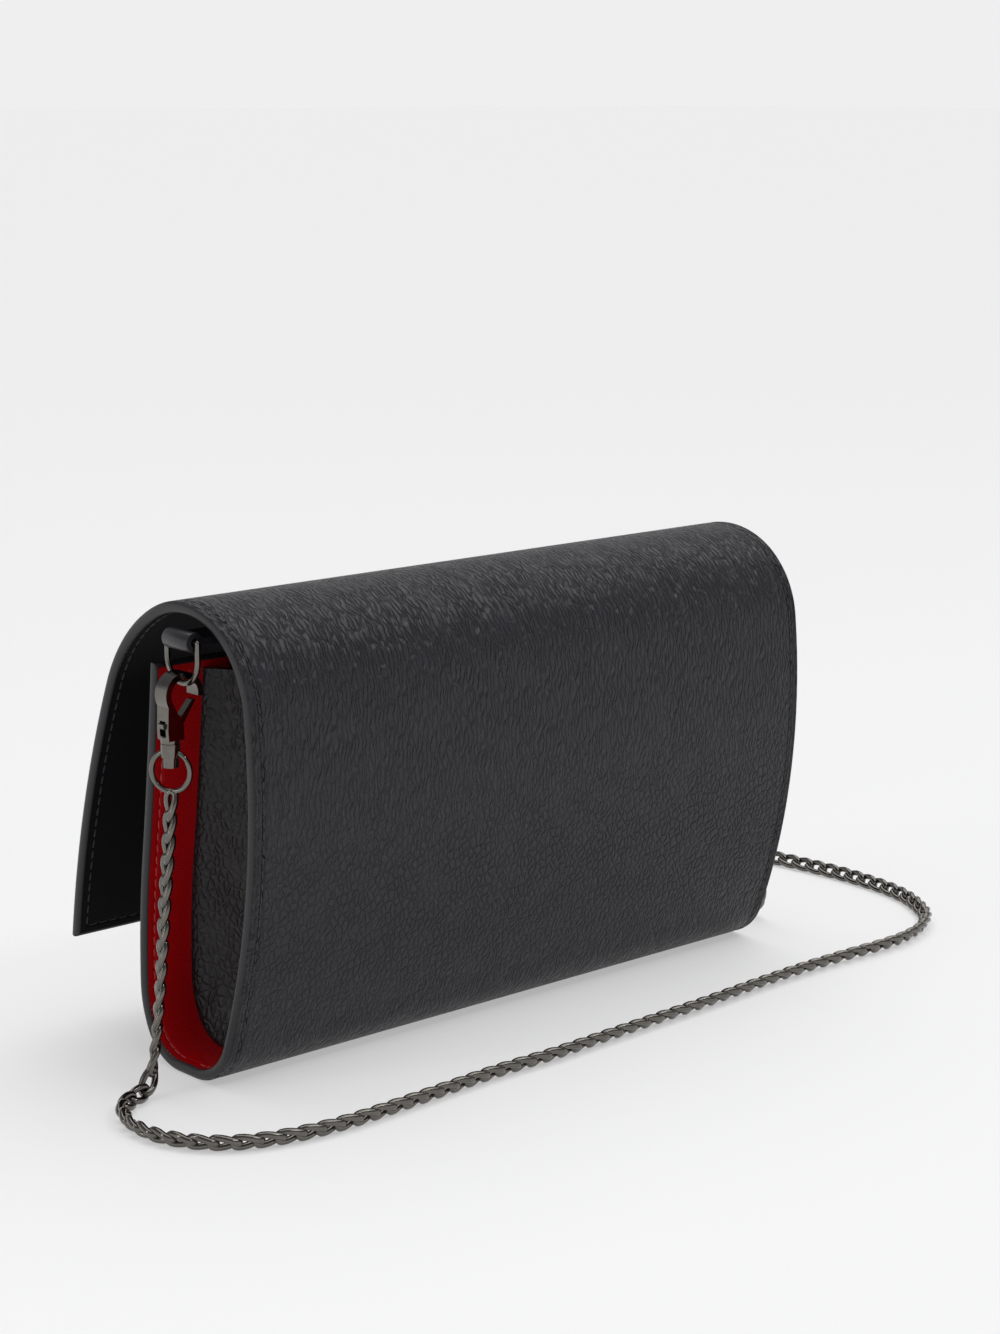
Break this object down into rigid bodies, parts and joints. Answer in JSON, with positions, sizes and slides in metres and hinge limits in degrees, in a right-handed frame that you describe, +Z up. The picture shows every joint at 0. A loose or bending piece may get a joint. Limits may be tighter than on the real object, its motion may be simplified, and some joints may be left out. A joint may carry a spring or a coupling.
{
  "type": "wallet on chain",
  "caption": "Slim clutch wallet with a curved fold-over flap, folded end gussets, a zipped coin pocket, card slots and a detachable chain strap on swivel snap hooks",
  "frame": {"origin": "middle of the flat on the bottom, on the surface it stands on", "axes": "+Z up, +X along the length, +Y towards the back panel"},
  "size_m": [0.2984, 0.1527, 0.1232],
  "materials": {
    "black_leather": "pebbled black leather with a low sheen",
    "dark_lining": "smooth near-black lining",
    "red_lining": "smooth glossy red lining",
    "board": "raw bonded leatherboard, hidden between the skins",
    "zip_tape": "woven zip tape",
    "dark_nickel": "polished dark nickel plating",
    "spring_steel": "bright spring strip"
  },
  "bodies": {
    "shell": {"shell_leather": "black_leather", "shell_board": "board", "shell_lining": "red_lining", "arch_lining": "dark_lining", "bend_leather": "black_leather", "bend_lining": "dark_lining", "gusset_right": "black_leather", "gusset_left": "black_leather", "card_panel": "red_lining", "card_slot_top": "red_lining", "card_slot_middle": "red_lining", "card_slot_bottom": "red_lining", "pocket_shell": "red_lining", "zip_tape_front": "zip_tape", "zip_tape_back": "zip_tape", "zip_teeth": "dark_nickel", "zip_stops": "dark_nickel", "ring_tab_right": "black_leather", "ring_tab_left": "black_leather", "chain_right": "dark_nickel", "chain_left": "dark_nickel"},
    "flap": {"flap_leather": "black_leather", "flap_board": "board", "flap_lining": "dark_lining", "snap_stud": "dark_nickel", "snap_stud_plate": "dark_nickel"},
    "front": {"front_leather": "black_leather", "front_board": "board", "front_lining": "red_lining", "snap_socket": "dark_nickel", "snap_socket_plate": "dark_nickel"},
    "slider": {"zip_slider": "dark_nickel"},
    "puller": {"zip_puller": "dark_nickel"},
    "clasp_right": {"d_ring_right": "dark_nickel", "hook_body_right": "dark_nickel", "gate_pin_right": "dark_nickel", "gate_spring_right": "spring_steel"},
    "gate_right": {"hook_gate_right": "dark_nickel"},
    "swivel_right": {"swivel_barrel_right": "dark_nickel", "jump_ring_right": "dark_nickel"},
    "clasp_left": {"d_ring_left": "dark_nickel", "hook_body_left": "dark_nickel", "gate_pin_left": "dark_nickel", "gate_spring_left": "spring_steel"},
    "gate_left": {"hook_gate_left": "dark_nickel"},
    "swivel_left": {"swivel_barrel_left": "dark_nickel", "jump_ring_left": "dark_nickel"}
  },
  "joints": [
    {"name": "flap_fold", "type": "hinge", "parent": "shell", "child": "flap", "pos_m": [0, 0.003, 0.1215], "axis": [-1, 0, 0], "range_deg": [-14.9, 75], "deforming": ["bend_leather", "bend_lining"]},
    {"name": "front_fold", "type": "hinge", "parent": "shell", "child": "front", "pos_m": [0, -0.0177, 0.0207], "axis": [-1, 0, 0], "range_deg": [0, 5.5], "deforming": ["gusset_right", "gusset_left"]},
    {"name": "zip_slide", "type": "slide", "parent": "shell", "child": "slider", "axis": [1, 0, 0], "range_m": [0, 0.115], "deforming": ["zip_teeth"]},
    {"name": "zip_pull_swing", "type": "hinge", "parent": "slider", "child": "puller", "pos_m": [-0.0645, 0.0055, 0.10156], "axis": [0, -1, 0], "range_deg": [0, 90]},
    {"name": "clasp_swing_right", "type": "hinge", "parent": "shell", "child": "clasp_right", "pos_m": [0.099, 0.0055, 0.11431], "axis": [0, -1, 0], "range_deg": [-8, 30], "deforming": ["chain_right"]},
    {"name": "gate_right", "type": "hinge", "parent": "clasp_right", "child": "gate_right", "pos_m": [0.1018, 0.0055, 0.09256], "axis": [0, 1, 0], "range_deg": [0, 22], "stiffness_Nm_per_rad": 0.012, "springref_deg": -14.32, "deforming": ["gate_spring_right"]},
    {"name": "swivel_right", "type": "hinge", "parent": "clasp_right", "child": "swivel_right", "pos_m": [0.1033, 0.0055, 0.085], "axis": [0, 0, 1], "range_deg": [-60, 60]},
    {"name": "clasp_swing_left", "type": "hinge", "parent": "shell", "child": "clasp_left", "pos_m": [-0.099, 0.0055, 0.11431], "axis": [0, 1, 0], "range_deg": [-8, 30], "deforming": ["chain_left"]},
    {"name": "gate_left", "type": "hinge", "parent": "clasp_left", "child": "gate_left", "pos_m": [-0.1018, 0.0055, 0.09256], "axis": [0, -1, 0], "range_deg": [0, 22], "stiffness_Nm_per_rad": 0.012, "springref_deg": -14.32, "deforming": ["gate_spring_left"]},
    {"name": "swivel_left", "type": "hinge", "parent": "clasp_left", "child": "swivel_left", "pos_m": [-0.1033, 0.0055, 0.085], "axis": [0, 0, 1], "range_deg": [-60, 60]}
  ]
}
